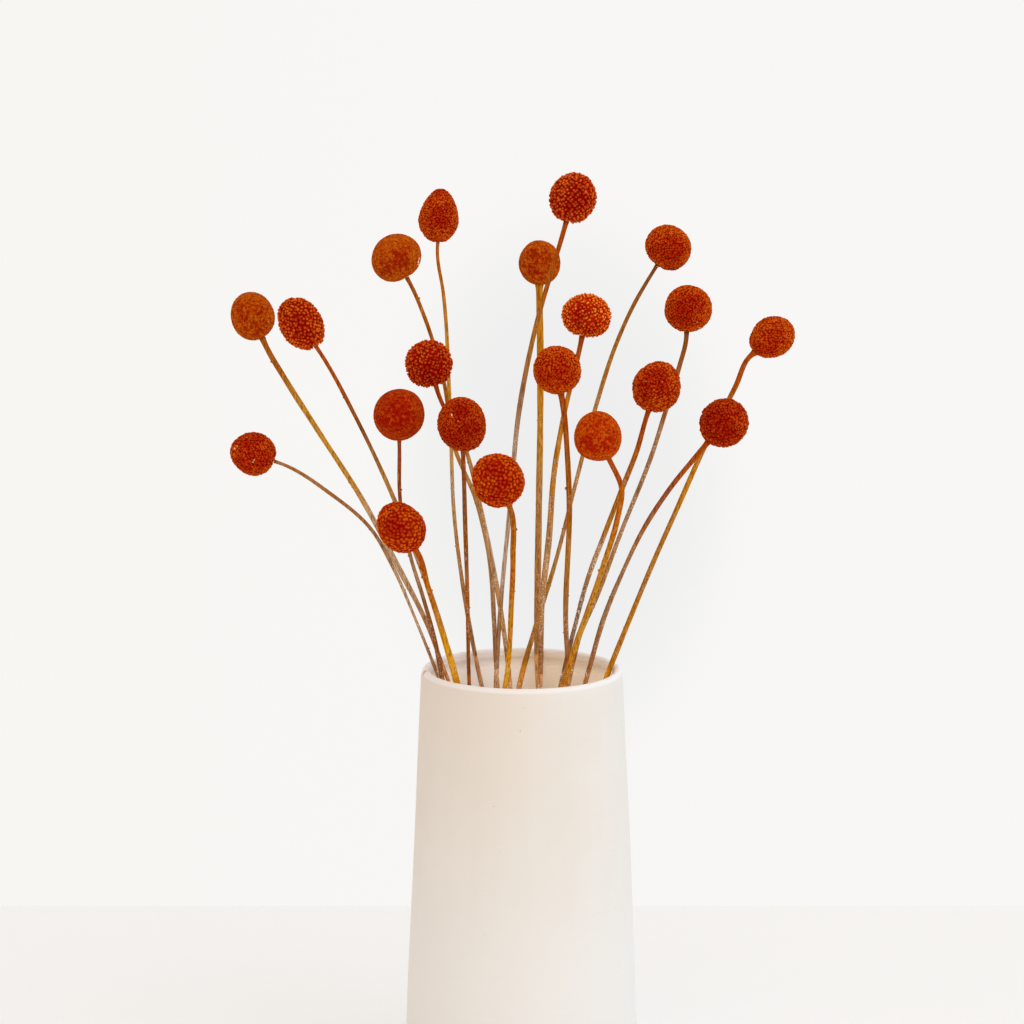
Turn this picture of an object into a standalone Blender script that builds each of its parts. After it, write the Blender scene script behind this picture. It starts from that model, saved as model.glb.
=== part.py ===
"""Twenty dried billy buttons in a tapered ceramic vase, at real size in metres, +Z up.

The origin is the middle of the vase's flat base. The front, which a viewer faces, is -Y.
Every stem stands on the vase's floor, leaves through the mouth and carries one round head of
florets on the flat receptacle under the head. Lengths below are in millimetres.
"""
import math
from collections import namedtuple

import bmesh
import bpy
from mathutils import Matrix, Vector

MM = 0.001
GAP = 0.3  # clearance between pieces that touch

# Vase: a cone that widens downward, open at the top, its lip rounded and a little thicker inside
VASE_HEIGHT = 242.5
RIM_RADIUS = 55.4
BASE_RADIUS = 66.3
WALL = 4.2
FLOOR = 7.0
BASE_BEVEL = 1.6
LIP_ROUND = 2.5
LIP_OUTSIDE_DROP = 7.0
LIP_INSIDE_DROP = 2.6
LIP_BAND = 5.0
LIP_STEP = 0.6
LIP_ARC_STEPS = 3
VASE_SIDES = 48

# Stems: below the mouth they lean the same way round, so each foot is its point in the mouth, turned
# round the vase's axis and moved outward, and no two stems meet
SPIRAL_TURN = math.radians(-110.0)
SPIRAL_SPREAD = 1.15
STEM_POINT_SPACING = 34.0
NECK_LENGTH = 5.0
NECK_FLARE = 1.5
STEM_BEVEL_RESOLUTION = 1

# Heads
RECEPTACLE_RADIUS = 3.2
RECEPTACLE_SIDES = 6
NET_SAG = 0.4  # how far the middle of a face of the net lies under the head's round form
GOLDEN_ANGLE = math.pi * (3.0 - math.sqrt(5.0))
EGG_CENTRE_SHIFT = 0.25

# How closely a head is packed: points of the net between its florets, and how far they stand out
Packing = namedtuple("Packing", "net_points relief")
COARSE = Packing(net_points=70, relief=1.5)
MEDIUM = Packing(net_points=78, relief=1.2)
FINE = Packing(net_points=86, relief=0.9)

# Linear colours
RUST = (0.36, 0.045, 0.006)
ORANGE = (0.50, 0.085, 0.008)
OCHRE = (0.43, 0.115, 0.010)
RUSSET = (0.23, 0.055, 0.015)
GOLD = (0.42, 0.19, 0.025)
STRAW = (0.36, 0.21, 0.09)
CERAMIC = (0.76, 0.69, 0.61)

# centre of the head, its width and height, how far it narrows to the top (0 to 1), its packing and
# colour, the stem's diameter and colour, and the stem's way up: its point in the mouth, then each
# bend up to the last one under the head
Flower = namedtuple("Flower", "centre size egg packing colour stem stem_colour route")
FLOWERS = [
    Flower((27.5, 18, 498.5), (25.8, 28.0), 0.0, COARSE, RUST, 2.6, RUSSET,
           [(-14, 4, 240), (-11.5, 6, 279), (-6.5, 9, 331), (-1.5, 12, 384), (6.5, 14, 425),
            (18.5, 16, 466.5)]),
    Flower((-47, 95, 485), (23.7, 30.9), 0.22, MEDIUM, RUST, 2.2, GOLD,
           [(-26, 38, 240), (-32, 45, 272), (-38, 56, 316), (-40.5, 69, 371), (-44.5, 85, 441),
            (-48.5, 89, 457)]),
    Flower((-70, 52, 464), (28.4, 26.2), 0.0, FINE, OCHRE, 2.5, GOLD,
           [(-14.5, 22, 240), (-15.5, 25, 264), (-18.5, 30, 301), (-26, 34, 332), (-37, 38, 358),
            (-43.5, 43, 396), (-55, 48, 433.5), (-59, 49, 444)]),
    Flower((10, 80, 459.5), (23.8, 25.8), 0.0, FINE, OCHRE, 3.6, GOLD,
           [(9, 44, 240), (9.5, 55, 310), (10.5, 66, 371), (10.5, 72, 413), (10, 77, 437.5)]),
    Flower((82, 65, 469), (26.4, 25.3), 0.0, MEDIUM, RUST, 2.4, STRAW,
           [(1, 12, 240), (7, 17, 260), (19, 26, 298), (30, 35, 340), (42, 45, 384), (52, 52, 414),
            (62.5, 58, 437), (70, 61, 450)]),
    Flower((-149.5, 45, 432), (24.4, 27.5), 0.04, FINE, OCHRE, 2.8, GOLD,
           [(-44, 16, 240), (-53, 20, 263.5), (-68.5, 24, 294), (-88.5, 30, 331), (-113.5, 36, 369.5),
            (-131.5, 40, 397.5), (-140.5, 42, 412)]),
    Flower((-119, -8, 433), (23.6, 30.7), 0.1, COARSE, ORANGE, 2.5, RUSSET,
           [(-37, 2, 240), (-47.5, 0, 276), (-55, -1, 298), (-69.5, -3, 336.5), (-90, -5, 382),
            (-106, -7, 413)]),
    Flower((34.5, -2, 436.5), (27.1, 24.4), 0.0, COARSE, ORANGE, 2.9, STRAW,
           [(10, -10, 240), (11, -8, 282), (14.5, -7, 315), (17.5, -5, 353), (22, -4, 380),
            (30.5, -3, 416.5)]),
    Flower((92, 42, 436.5), (26.8, 26.4), 0.0, MEDIUM, RUST, 2.5, STRAW,
           [(29, 30, 240), (32, 31, 252), (42, 32, 276), (54.5, 34, 310), (73, 37, 357.5), (80, 39, 380),
            (87.5, 40, 405), (91, 41, 418.5)]),
    Flower((138.5, 38, 421), (22.7, 26.0), -0.05, MEDIUM, RUST, 2.6, GOLD,
           [(48, 4, 240), (58.5, 9, 265.5), (74, 16, 302), (85.5, 20, 327.5), (101, 27, 361.5),
            (118.5, 33, 395), (125, 36, 409.5)]),
    Flower((-50, -14, 412), (25.6, 26.2), 0.0, COARSE, RUST, 2.4, STRAW,
           [(-7, -12, 240), (-10, -12, 266), (-16.5, -13, 305), (-23.5, -13, 338), (-30, -13, 364),
            (-43, -14, 389)]),
    Flower((18, -42, 411.5), (25.4, 26.0), 0.0, MEDIUM, RUST, 2.8, RUSSET,
           [(25, -20, 240), (23.5, -24, 273), (25, -33, 341), (24, -36, 363), (23, -38, 383.5)]),
    Flower((-65, -42, 387.5), (27.0, 27.5), 0.0, FINE, ORANGE, 2.2, RUSSET,
           [(-43.5, -16, 240), (-47.5, -20, 263), (-53, -24, 285), (-60, -28, 310), (-65, -34, 341),
            (-65, -37, 357.5)]),
    Flower((-32, -47, 383.5), (25.5, 28.7), 0.0, MEDIUM, RUST, 2.3, RUSSET,
           [(-29, -12, 240), (-29.5, -23, 286), (-30.5, -34, 330), (-31, -42, 359.5)]),
    Flower((71, -30, 401), (25.4, 27.5), 0.0, MEDIUM, RUST, 2.5, STRAW,
           [(22.5, -4, 240), (29, -8, 268), (35.5, -12, 294), (44.5, -17, 320), (53.5, -21, 345),
            (61.5, -24, 367), (64, -26, 378)]),
    Flower((38.5, -78, 381), (24.5, 25.8), 0.0, FINE, ORANGE, 3.0, GOLD,
           [(22, -34, 240), (27, -40, 259), (35, -47, 284), (42.5, -55, 309), (49.5, -64, 336),
            (51.5, -68, 352), (48, -71, 361.5)]),
    Flower((106.5, -38, 383), (25.9, 26.4), 0.0, MEDIUM, RUST, 2.3, RUSSET,
           [(36, -5, 240), (45.5, -13, 276), (54, -18, 298.5), (65.5, -24, 324.5), (79, -30, 347),
            (93.5, -34, 366)]),
    Flower((-144, -18, 363.5), (23.5, 24.9), 0.0, MEDIUM, RUST, 2.1, RUSSET,
           [(-47, 0, 240), (-59, -5, 272.5), (-69.5, -8, 298.5), (-82, -12, 322), (-104, -15, 342),
            (-125, -17, 356.5)]),
    Flower((-12.5, -92, 360), (27.5, 28.1), 0.0, COARSE, ORANGE, 2.7, GOLD,
           [(-9.5, -46, 240), (-7.5, -52, 256), (-6, -64, 287), (-5, -76, 318), (-4, -83, 338.5)]),
    Flower((-63, -66, 331.5), (24.6, 28.8), 0.0, COARSE, ORANGE, 3.1, GOLD,
           [(-35, -32, 240), (-37, -36, 249.5), (-43, -44, 272.5), (-50, -53, 298), (-51.5, -58, 311)]),
]


def finish(obj, colour, roughness):
    """Give an object a material of its own."""
    material = bpy.data.materials.new(obj.name)
    material.use_nodes = True
    shader = material.node_tree.nodes["Principled BSDF"]
    shader.inputs["Base Color"].default_value = (*colour, 1.0)
    shader.inputs["Roughness"].default_value = roughness
    shader.inputs["Metallic"].default_value = 0.0
    obj.data.materials.append(material)


def vase_radius(height):
    """Outer radius of the vase's wall at a height above the table."""
    return BASE_RADIUS + (RIM_RADIUS - BASE_RADIUS) * height / VASE_HEIGHT


def quarter_round(top, sideways, drop):
    """Points of a quarter ellipse, from the top of the lip out to its side, without the first."""
    points = []
    for step in range(1, LIP_ARC_STEPS + 1):
        turn = math.pi / 2 * step / LIP_ARC_STEPS
        points.append((top + sideways * math.sin(turn), VASE_HEIGHT - drop * (1.0 - math.cos(turn))))
    return points


def vase_profile():
    """Half section of the vase, from the axis on its floor up the inside and down the outside."""
    band_end = VASE_HEIGHT - LIP_BAND
    inside_rim = RIM_RADIUS - WALL - LIP_STEP
    inside_floor = vase_radius(FLOOR) - WALL
    lip_top = vase_radius(VASE_HEIGHT - LIP_OUTSIDE_DROP) - LIP_ROUND
    points = [(0.0, FLOOR), (inside_floor - 3.0, FLOOR), (inside_floor - 0.8, FLOOR + 0.8),
              (inside_floor, FLOOR + 3.0)]
    points.append((vase_radius(band_end - LIP_STEP) - WALL, band_end - LIP_STEP))
    points.append((inside_rim, band_end))
    points += reversed(quarter_round(lip_top, inside_rim - lip_top, LIP_INSIDE_DROP))
    points.append((lip_top, VASE_HEIGHT))
    points += quarter_round(lip_top, LIP_ROUND, LIP_OUTSIDE_DROP)
    points.append((vase_radius(BASE_BEVEL), BASE_BEVEL))
    points.append((vase_radius(0.0) - 0.5 * BASE_BEVEL, 0.3 * BASE_BEVEL))
    points.append((vase_radius(0.0) - 1.5 * BASE_BEVEL, 0.0))
    points.append((0.0, 0.0))
    return points


def make_vase(parts):
    """The vase as a turned profile."""
    mesh = bpy.data.meshes.new("vase")
    points = [(x * MM, 0.0, z * MM) for x, z in vase_profile()]
    edges = [(i, i + 1) for i in range(len(points) - 1)]
    mesh.from_pydata(points, edges, [])
    vase = bpy.data.objects.new("vase", mesh)
    parts.objects.link(vase)
    screw = vase.modifiers.new("turn", "SCREW")
    screw.axis = "Z"
    screw.angle = math.tau
    screw.steps = VASE_SIDES
    screw.render_steps = VASE_SIDES
    screw.use_merge_vertices = True
    screw.merge_threshold = 0.0001
    screw.use_smooth_shade = True
    finish(vase, CERAMIC, 0.7)


def head_frame(flower):
    """Up direction of a head, from its last bend to its centre, and the depth of its receptacle."""
    centre = Vector(flower.centre)
    up = (centre - Vector(flower.route[-1])).normalized()
    half_width = flower.size[0] / 2 - flower.packing.relief + NET_SAG
    half_height = flower.size[1] / 2 - flower.packing.relief + NET_SAG
    tilt = math.asin(RECEPTACLE_RADIUS / half_width)
    return centre, up, half_width, half_height, tilt


def head_net(flower):
    """Points between the florets: a ring round the receptacle, then a spiral up to the top."""
    _, _, half_width, half_height, tilt = head_frame(flower)
    floor = -math.cos(tilt)
    levels = [floor] * RECEPTACLE_SIDES
    turns = [math.tau * i / RECEPTACLE_SIDES for i in range(RECEPTACLE_SIDES)]
    spiral = flower.packing.net_points - RECEPTACLE_SIDES
    step = (1.0 - floor) / (spiral + 0.5 * RECEPTACLE_SIDES)
    for i in range(spiral):
        levels.append(1.0 - step * (i + 0.5))
        turns.append(GOLDEN_ANGLE * i)
    points = []
    for level, turn in zip(levels, turns):
        narrowing = 1.0 - flower.egg * (level + EGG_CENTRE_SHIFT) if level > -EGG_CENTRE_SHIFT else 1.0
        across = half_width * math.sqrt(1.0 - level * level) * narrowing
        points.append(Vector((across * math.cos(turn), across * math.sin(turn), half_height * level)))
    return points


def make_head(name, flower, parts):
    """One head: the net's hull, with a floret raised on every one of its faces."""
    centre, up, _, _, _ = head_frame(flower)
    place = Matrix.Translation(centre) @ up.to_track_quat("Z", "Y").to_matrix().to_4x4()
    shape = bmesh.new()
    for point in head_net(flower):
        shape.verts.new(place @ point * MM)
    bmesh.ops.convex_hull(shape, input=shape.verts)
    lowest = place @ Vector((0.0, 0.0, -1.0)) - centre
    florets = [face for face in shape.faces if face.normal.dot(lowest) < 0.999]
    bmesh.ops.poke(shape, faces=florets, offset=flower.packing.relief * MM, center_mode="MEAN")
    bmesh.ops.recalc_face_normals(shape, faces=shape.faces)
    mesh = bpy.data.meshes.new(name)
    shape.to_mesh(mesh)
    shape.free()
    head = bpy.data.objects.new(name, mesh)
    parts.objects.link(head)
    finish(head, flower.colour, 0.9)


def smooth_way(points, spacing):
    """Points along a smooth curve through the given ones, about evenly spaced."""
    spans = [(b - a).length for a, b in zip(points, points[1:])]
    slopes = [(b - a) / span for a, b, span in zip(points, points[1:], spans)]
    tangents = [slopes[0]]
    for before, after, slope_in, slope_out in zip(spans, spans[1:], slopes, slopes[1:]):
        tangents.append((slope_in * after + slope_out * before) / (before + after))
    tangents.append(slopes[-1])
    way = []
    for i, span in enumerate(spans):
        count = max(1, round(span / spacing))
        for step in range(count):
            t = step / count
            start = points[i] * (2 * t**3 - 3 * t**2 + 1) + tangents[i] * span * (t**3 - 2 * t**2 + t)
            end = points[i + 1] * (3 * t**2 - 2 * t**3) + tangents[i + 1] * span * (t**3 - t**2)
            way.append(start + end)
    way.append(points[-1])
    return way


def stem_way(flower, spacing):
    """Middle line of a stem, from its cut foot to the receptacle of its head."""
    centre, up, _, half_height, tilt = head_frame(flower)
    mouth = Vector(flower.route[0])
    foot = Matrix.Rotation(SPIRAL_TURN, 3, "Z") @ mouth * SPIRAL_SPREAD
    foot.z = FLOOR
    lean = (mouth - foot).normalized()
    foot.z += GAP + flower.stem / 2 * math.hypot(lean.x, lean.y)
    tip = centre - up * (half_height * math.cos(tilt) + GAP)
    neck = tip - up * NECK_LENGTH
    route = [foot, *(Vector(point) for point in flower.route[:-1]), neck, tip]
    return smooth_way(route, spacing)


def make_stem(name, flower, parts):
    """One stem: a round tube that widens a little under the head."""
    curve = bpy.data.curves.new(name, "CURVE")
    curve.dimensions = "3D"
    curve.bevel_depth = flower.stem / 2 * MM
    curve.bevel_resolution = STEM_BEVEL_RESOLUTION
    curve.use_fill_caps = True
    way = stem_way(flower, STEM_POINT_SPACING)
    spline = curve.splines.new("POLY")
    spline.points.add(len(way) - 1)
    for point, place in zip(spline.points, way):
        point.co = (*(place * MM), 1.0)
    spline.points[-1].radius = NECK_FLARE
    stem = bpy.data.objects.new(name, curve)
    parts.objects.link(stem)
    finish(stem, flower.stem_colour, 0.7)


def main():
    for obj in list(bpy.data.objects):
        bpy.data.objects.remove(obj, do_unlink=True)
    parts = bpy.data.collections.new("dried_billy_buttons_in_vase")
    bpy.context.scene.collection.children.link(parts)
    make_vase(parts)
    for number, flower in enumerate(FLOWERS, start=1):
        make_stem(f"stem_{number:02d}", flower, parts)
        make_head(f"head_{number:02d}", flower, parts)


main()
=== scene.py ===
"""Dried billy buttons in a ceramic vase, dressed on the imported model.

Sizes and places of the pieces are in millimetres, those of lights and finishes in metres.
"""
import math
from collections import namedtuple

import bpy
import numpy as np
from mathutils import Matrix, Vector


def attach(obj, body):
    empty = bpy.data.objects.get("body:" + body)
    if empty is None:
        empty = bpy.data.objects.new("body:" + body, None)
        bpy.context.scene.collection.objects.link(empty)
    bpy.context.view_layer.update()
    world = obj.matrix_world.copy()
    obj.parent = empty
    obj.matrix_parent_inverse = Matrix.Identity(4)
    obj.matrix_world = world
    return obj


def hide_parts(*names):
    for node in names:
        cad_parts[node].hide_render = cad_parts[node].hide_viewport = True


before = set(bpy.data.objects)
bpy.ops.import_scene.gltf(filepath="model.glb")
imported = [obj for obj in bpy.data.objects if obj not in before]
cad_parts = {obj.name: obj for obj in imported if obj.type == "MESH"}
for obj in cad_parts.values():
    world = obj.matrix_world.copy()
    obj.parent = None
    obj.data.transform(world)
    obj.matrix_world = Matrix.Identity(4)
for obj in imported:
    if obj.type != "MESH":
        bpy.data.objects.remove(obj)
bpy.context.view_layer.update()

# Camera. It stands a metre and a half in front of the vase, a little above the highest flower, and
# looks nine degrees down. The vase's foot is just below the picture.
MM = 0.001
PICTURE_WIDTH = 1024
FOCAL_LENGTH_PIXELS = 2743
SENSOR_WIDTH = 36.0
CAMERA_PLACE = Vector((-5.5, -1476.0, 564.5))
CAMERA_DIP = math.radians(9.06)

camera_data = bpy.data.cameras.new("camera")
camera_data.sensor_width = SENSOR_WIDTH
camera_data.lens = SENSOR_WIDTH * FOCAL_LENGTH_PIXELS / PICTURE_WIDTH
camera_data.clip_end = 20.0
camera = bpy.data.objects.new("camera", camera_data)
camera.location = CAMERA_PLACE * MM
camera.rotation_euler = (math.pi / 2 - CAMERA_DIP, 0.0, 0.0)
bpy.context.scene.collection.objects.link(camera)
bpy.context.scene.camera = camera
bpy.context.scene.view_settings.view_transform = "Standard"


# Room. A pale room surrounds the table: its left side is warm, the window on its right is cooler and
# brighter, and the wall behind the flowers is nearly white, with a painted shadow of the bouquet that
# makes it a little greyer straight behind them.
class Socket:
    """An output of a node. Sums and products of it add their Math nodes."""

    def __init__(self, port):
        self.port = port

    def math(self, operation, *others):
        tree = self.port.id_data
        node = tree.nodes.new("ShaderNodeMath")
        node.operation = operation
        for socket, value in zip(node.inputs, (self, *others)):
            if isinstance(value, Socket):
                tree.links.new(value.port, socket)
            else:
                socket.default_value = value
        return Socket(node.outputs[0])

    def __add__(self, other):
        return self.math("ADD", other)

    def __sub__(self, other):
        return self.math("SUBTRACT", other)

    def __mul__(self, other):
        return self.math("MULTIPLY", other)

    def __rsub__(self, other):
        return self.math("MULTIPLY_ADD", -1.0, other)

    __radd__ = __add__
    __rmul__ = __mul__


class Recipe:
    """The nodes of one finish, or of the room's light."""

    def __init__(self, owner):
        owner.use_nodes = True
        self.tree = owner.node_tree
        self.tree.nodes.clear()

    def add(self, kind, settings=None, inputs=None, output=0):
        """Add a node: its settings first, then the values or links of its sockets."""
        node = self.tree.nodes.new("ShaderNode" + kind)
        for name, value in (settings or {}).items():
            if name == "stops":
                self.set_stops(node.color_ramp, value)
            else:
                setattr(node, name, value)
        for name, value in (inputs or {}).items():
            if isinstance(value, Socket):
                self.tree.links.new(value.port, node.inputs[name])
            else:
                node.inputs[name].default_value = value
        return Socket(node.outputs[output]) if node.outputs else None

    @staticmethod
    def set_stops(ramp, stops):
        while len(ramp.elements) < len(stops):
            ramp.elements.new(1.0)
        for element, (place, colour) in zip(ramp.elements, stops):
            element.position = place
            element.color = (*colour, 1.0)

    def smooth(self, value, low, high, start=0.0, end=1.0):
        """A soft step of a value, from start at low to end at high."""
        limits = {"From Min": low, "From Max": high, "To Min": start, "To Max": end}
        return self.add("MapRange", {"interpolation_type": "SMOOTHSTEP"}, {"Value": value, **limits})

    def mix(self, factor, first, second, blend="MIX"):
        """A mix of two colours."""
        first, second = ((*c, 1.0) if isinstance(c, tuple) else c for c in (first, second))
        settings = {"data_type": "RGBA", "blend_type": blend}
        return self.add("Mix", settings, {0: factor, 6: first, 7: second}, 2)

    def parts(self, vector):
        """The three numbers of a vector."""
        split = self.add("SeparateXYZ", inputs={0: vector}).port.node
        return [Socket(port) for port in split.outputs]


def tone(red, green, blue):
    """Linear colour of a tone named by its 8-bit screen values."""
    return tuple(v / 255 / 12.92 if v < 11 else ((v / 255 + 0.055) / 1.055) ** 2.4
                 for v in (red, green, blue))


WALL_LEFT = tone(247, 246, 243)
WALL_RIGHT = tone(248, 247, 246)
ROOM_LEFT = (0.68, 0.64, 0.60)
ROOM_FRONT = (1.10, 1.04, 0.98)
ROOM_RIGHT = (0.84, 0.97, 1.11)
CEILING_GAIN = 0.10

# The painted shadow of the bouquet on the wall: its tone, and its middle and reach as directions,
# right and up
WALL_SHADOW = tone(238, 238, 238)
WALL_SHADOW_WAY = Vector((0.018, -0.146))
WALL_SHADOW_REACH = Vector((0.062, 0.095))

# Directions: way_x is to the right, way_y into the picture and way_z up
room = bpy.data.worlds.new("room")
bpy.context.scene.world = room
recipe = Recipe(room)
way_x, way_y, way_z = recipe.parts(recipe.add("TexCoord"))
wall = recipe.mix(recipe.smooth(way_x, -0.18, 0.10), WALL_LEFT, WALL_RIGHT)
aside = (way_x - WALL_SHADOW_WAY.x) * (1.0 / WALL_SHADOW_REACH.x)
above = (way_z - WALL_SHADOW_WAY.y) * (1.0 / WALL_SHADOW_REACH.y)
# Painted shadow: the wall turns greyer round the direction straight behind the bouquet
wall = recipe.mix(recipe.smooth(aside * aside + above * above, 0.1, 1.4, 1.0, 0.0), wall, WALL_SHADOW)
sides = recipe.mix(recipe.smooth(way_x, -0.9, 0.1), ROOM_LEFT, ROOM_FRONT)
sides = recipe.mix(recipe.smooth(way_x, 0.0, 0.9), sides, ROOM_RIGHT)
light = recipe.mix(recipe.smooth(way_y, 0.72, 0.90), sides, wall)
strength = recipe.smooth(way_z, 0.35, 0.95) * CEILING_GAIN + 1.0
glow = recipe.add("Background", inputs={"Color": light, "Strength": strength})
recipe.add("OutputWorld", inputs={"Surface": glow})

window_light = bpy.data.lights.new("window", "AREA")
window_light.size = 1.4
window_light.energy = 3.5
window_light.color = (0.94, 0.97, 1.0)
window = bpy.data.objects.new("window", window_light)
window.location = (1.3, -1.2, 1.5)
window.rotation_euler = (Vector((0.0, 0.0, 0.3)) - window.location).to_track_quat("-Z", "Y").to_euler()
bpy.context.scene.collection.objects.link(window)

# A weak round panel lies in the mouth of the vase and keeps its inside as light as in the picture.
mouth_light = bpy.data.lights.new("mouth", "AREA")
mouth_light.shape = "DISK"
mouth_light.size = 0.094
mouth_light.energy = 0.021
mouth_light.color = (1.0, 0.96, 0.92)
mouth = bpy.data.objects.new("mouth", mouth_light)
mouth.location = (0.0, 0.0, 0.241)
mouth.visible_camera = False
bpy.context.scene.collection.objects.link(mouth)

# Table. A smooth white table top of painted board with an eased edge. Its back edge lies a third of a
# metre behind the vase.
TABLE_SIZE = Vector((3200.0, 1800.0))
TABLE_BACK = 346.0
TABLE_THICKNESS = 30.0
TABLE_EDGE = 3.0
TABLE_WHITE = tone(246, 245, 243)
TABLE_CLOUD = tuple(0.985 * value for value in TABLE_WHITE)

mesh = bpy.data.meshes.new("table_top")
left, right = -TABLE_SIZE.x / 2, TABLE_SIZE.x / 2
front = TABLE_BACK - TABLE_SIZE.y
corners = [(x, y, z) for z in (-TABLE_THICKNESS, 0.0)
           for x, y in ((left, front), (right, front), (right, TABLE_BACK), (left, TABLE_BACK))]
mesh.from_pydata([Vector(corner) * MM for corner in corners], [],
                 [(3, 2, 1, 0), (4, 5, 6, 7), (0, 1, 5, 4), (1, 2, 6, 5), (2, 3, 7, 6), (3, 0, 4, 7)])
table = bpy.data.objects.new("table_top", mesh)
bpy.context.scene.collection.objects.link(table)
rounding = table.modifiers.new("eased_edge", "BEVEL")
rounding.width = TABLE_EDGE * MM
rounding.segments = 4
material = bpy.data.materials.new("white_table_top")
recipe = Recipe(material)
place = recipe.add("TexCoord", output=3)
cloudy = recipe.add("TexNoise", inputs={"Vector": place, "Scale": 3.0, "Detail": 2.0})
white = recipe.mix(cloudy, TABLE_WHITE, TABLE_CLOUD)
shader = recipe.add("BsdfPrincipled", inputs={
    "Base Color": white, "Roughness": 0.55, "Specular IOR Level": 0.2})
recipe.add("OutputMaterial", inputs={"Surface": shader})
mesh.materials.append(material)

# Vase. A turned and hand-finished cone of unglazed stoneware with a soft round lip, cream outside and
# pink to tan inside. Painted light makes the inside lighter than the outside, its tan right half is
# painted warm light, and the outside has painted warm light at its upper left and a painted highlight
# on the lip. Firing left a few pinholes in it, and there is one brown touch on the lip.
VASE_HEIGHT = 242.5
RIM_RADIUS = 55.4
BASE_RADIUS = 66.3
WALL = 4.2
FLOOR = 7.0
FLOOR_CORNER = 3.0
FLOOR_EASE = 0.8
BASE_BEVEL = 1.6
LIP_ROUND = 2.5
LIP_OUTSIDE_DROP = 7.0
LIP_INSIDE_DROP = 2.6
LIP_BAND = 5.0
LIP_STEP = 0.6
LIP_ARC_STEPS = 8
WALL_STEPS = 50
FLOOR_STEPS = 12
BASE_STEPS = 8
VASE_SIDES = 144
HAND_WANDER = 0.22
CREAM = tone(237, 227, 215)
CREAM_LIGHT = tone(240, 232, 222)
FOOT_WHITE = tone(242, 236, 229)
PAINTED_WARM_LIGHT = tone(238, 221, 204)
# The inside's tones are painted lighter than the cream, as painted light; the tan is painted warm light
INSIDE_PINK_PAINTED_LIGHT = tone(246, 241, 234)
INSIDE_TAN_PAINTED_WARM_LIGHT = tone(246, 232, 209)
LIP_HIGHLIGHT = tone(250, 243, 237)
STAIN_OCHRE = tone(214, 172, 112)
PINHOLE_BROWN = tone(196, 176, 154)

# Heights, in metres, between which the outside turns white towards the foot and takes painted warm
# light (peach) towards the lip, and how far below the top the lip takes a painted highlight (white)
FOOT_FADE = (0.18, 0.07)
WARM_LIGHT_FADE = (0.17, 0.235)
LIP_HIGHLIGHT_FADE = ((VASE_HEIGHT - 3.0) * MM, (VASE_HEIGHT - 1.6) * MM)

# Angle round the vase from its front and height of each pinhole, and its radius
PINHOLES = [(0.8, 233.0, 0.22), (-1.2, 220.4, 0.32), (-15.0, 179.0, 0.26), (-11.6, 154.6, 0.22),
            (76.5, 197.6, 0.45), (-19.3, 108.6, 0.34), (-11.4, 63.5, 0.20)]

# Place of the brown touch on the lip, and the radii between which it fades
LIP_STAIN = Vector((-53.8, -8.4, 242.0))
STAIN_FADE = (0.8 * MM, 3.0 * MM)


def vase_radius(height):
    """Outer radius of the vase's wall at a height above the table."""
    return BASE_RADIUS + (RIM_RADIUS - BASE_RADIUS) * height / VASE_HEIGHT


def quarter_round(top, sideways, drop):
    """Points of a quarter ellipse, from the top of the lip out to its side, without the first."""
    points = []
    for step in range(1, LIP_ARC_STEPS + 1):
        turn = math.pi / 2 * step / LIP_ARC_STEPS
        points.append((top + sideways * math.sin(turn), VASE_HEIGHT - drop * (1.0 - math.cos(turn))))
    return points


def straight(start, end, steps):
    """Evenly spaced points of a straight run, without its start."""
    return [(start[0] + (end[0] - start[0]) * i / steps, start[1] + (end[1] - start[1]) * i / steps)
            for i in range(1, steps + 1)]


def vase_profile():
    """Half section of the vase as inner and outer points, each from the bottom up to the lip's top."""
    band_end = VASE_HEIGHT - LIP_BAND
    inside_rim = RIM_RADIUS - WALL - LIP_STEP
    inside_floor = vase_radius(FLOOR) - WALL
    lip_top = vase_radius(VASE_HEIGHT - LIP_OUTSIDE_DROP) - LIP_ROUND
    inner = [(0.0, FLOOR)] + straight((0.0, FLOOR), (inside_floor - FLOOR_CORNER, FLOOR), FLOOR_STEPS)
    inner += [(inside_floor - FLOOR_EASE, FLOOR + FLOOR_EASE), (inside_floor, FLOOR + FLOOR_CORNER)]
    band_start = (vase_radius(band_end - LIP_STEP) - WALL, band_end - LIP_STEP)
    inner += straight(inner[-1], band_start, WALL_STEPS)
    inner.append((inside_rim, band_end))
    inner += reversed(quarter_round(lip_top, inside_rim - lip_top, LIP_INSIDE_DROP))
    foot_end = vase_radius(0.0) - 1.5 * BASE_BEVEL
    outer = [(0.0, 0.0)] + straight((0.0, 0.0), (foot_end, 0.0), BASE_STEPS)
    outer.append((vase_radius(0.0) - 0.5 * BASE_BEVEL, 0.3 * BASE_BEVEL))
    outer.append((vase_radius(BASE_BEVEL), BASE_BEVEL))
    arc = list(reversed(quarter_round(lip_top, LIP_ROUND, LIP_OUTSIDE_DROP)))
    outer += straight(outer[-1], arc[0], WALL_STEPS)
    outer += arc[1:] + [(lip_top, VASE_HEIGHT)]
    return inner, outer


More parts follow.
